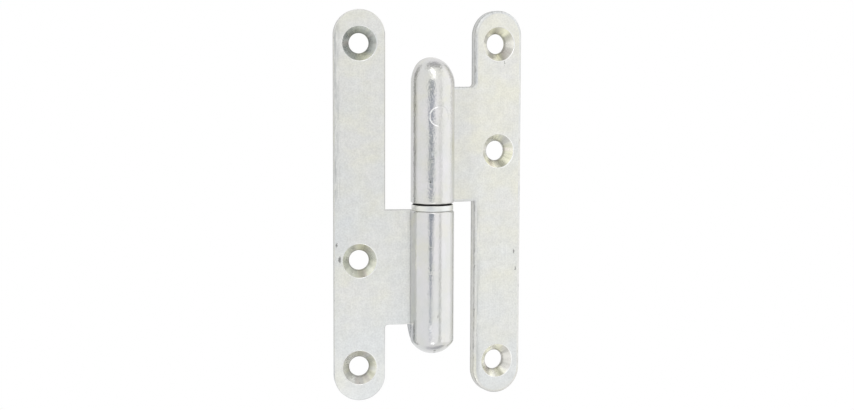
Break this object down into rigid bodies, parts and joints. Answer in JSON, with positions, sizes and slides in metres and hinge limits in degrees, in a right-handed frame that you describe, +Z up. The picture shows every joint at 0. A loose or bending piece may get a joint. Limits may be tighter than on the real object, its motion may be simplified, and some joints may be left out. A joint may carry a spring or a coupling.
{
  "type": "lift-off hinge",
  "caption": "Lift-off door hinge in zinc-plated steel: round-ended countersunk leaves with domed rolled knuckles, a pressed pin and a loose bearing ring between them.",
  "frame": {"origin": "on the back face of the fixed leaf, on its line of screws, at mid-height", "axes": "+Z up along the pin, +X from the fixed leaf's screws towards the pin, +Y out of the fixed leaf's back; the countersunk faces look to -Y"},
  "size_m": [0.0544, 0.0164, 0.11],
  "materials": {
    "leaf_zinc": "zinc plated, satin, with faint rolling grain",
    "pin_steel": "bright drawn steel, lightly oiled",
    "ring_zinc": "zinc plated, turned"
  },
  "bodies": {
    "fixed": {"fixed_leaf": "leaf_zinc", "hinge_pin": "pin_steel"},
    "ring": {"bearing_ring": "ring_zinc"},
    "hung": {"hung_leaf": "leaf_zinc"}
  },
  "joints": [
    {"name": "swing", "type": "hinge", "parent": "fixed", "child": "ring", "pos_m": [0.02055, -0.0033, 0], "axis": [0, 0, 1], "range_deg": [-195, 135]},
    {"name": "lift_off", "type": "slide", "parent": "ring", "child": "hung", "axis": [0, 0, 1], "range_m": [0, 0.034]}
  ]
}
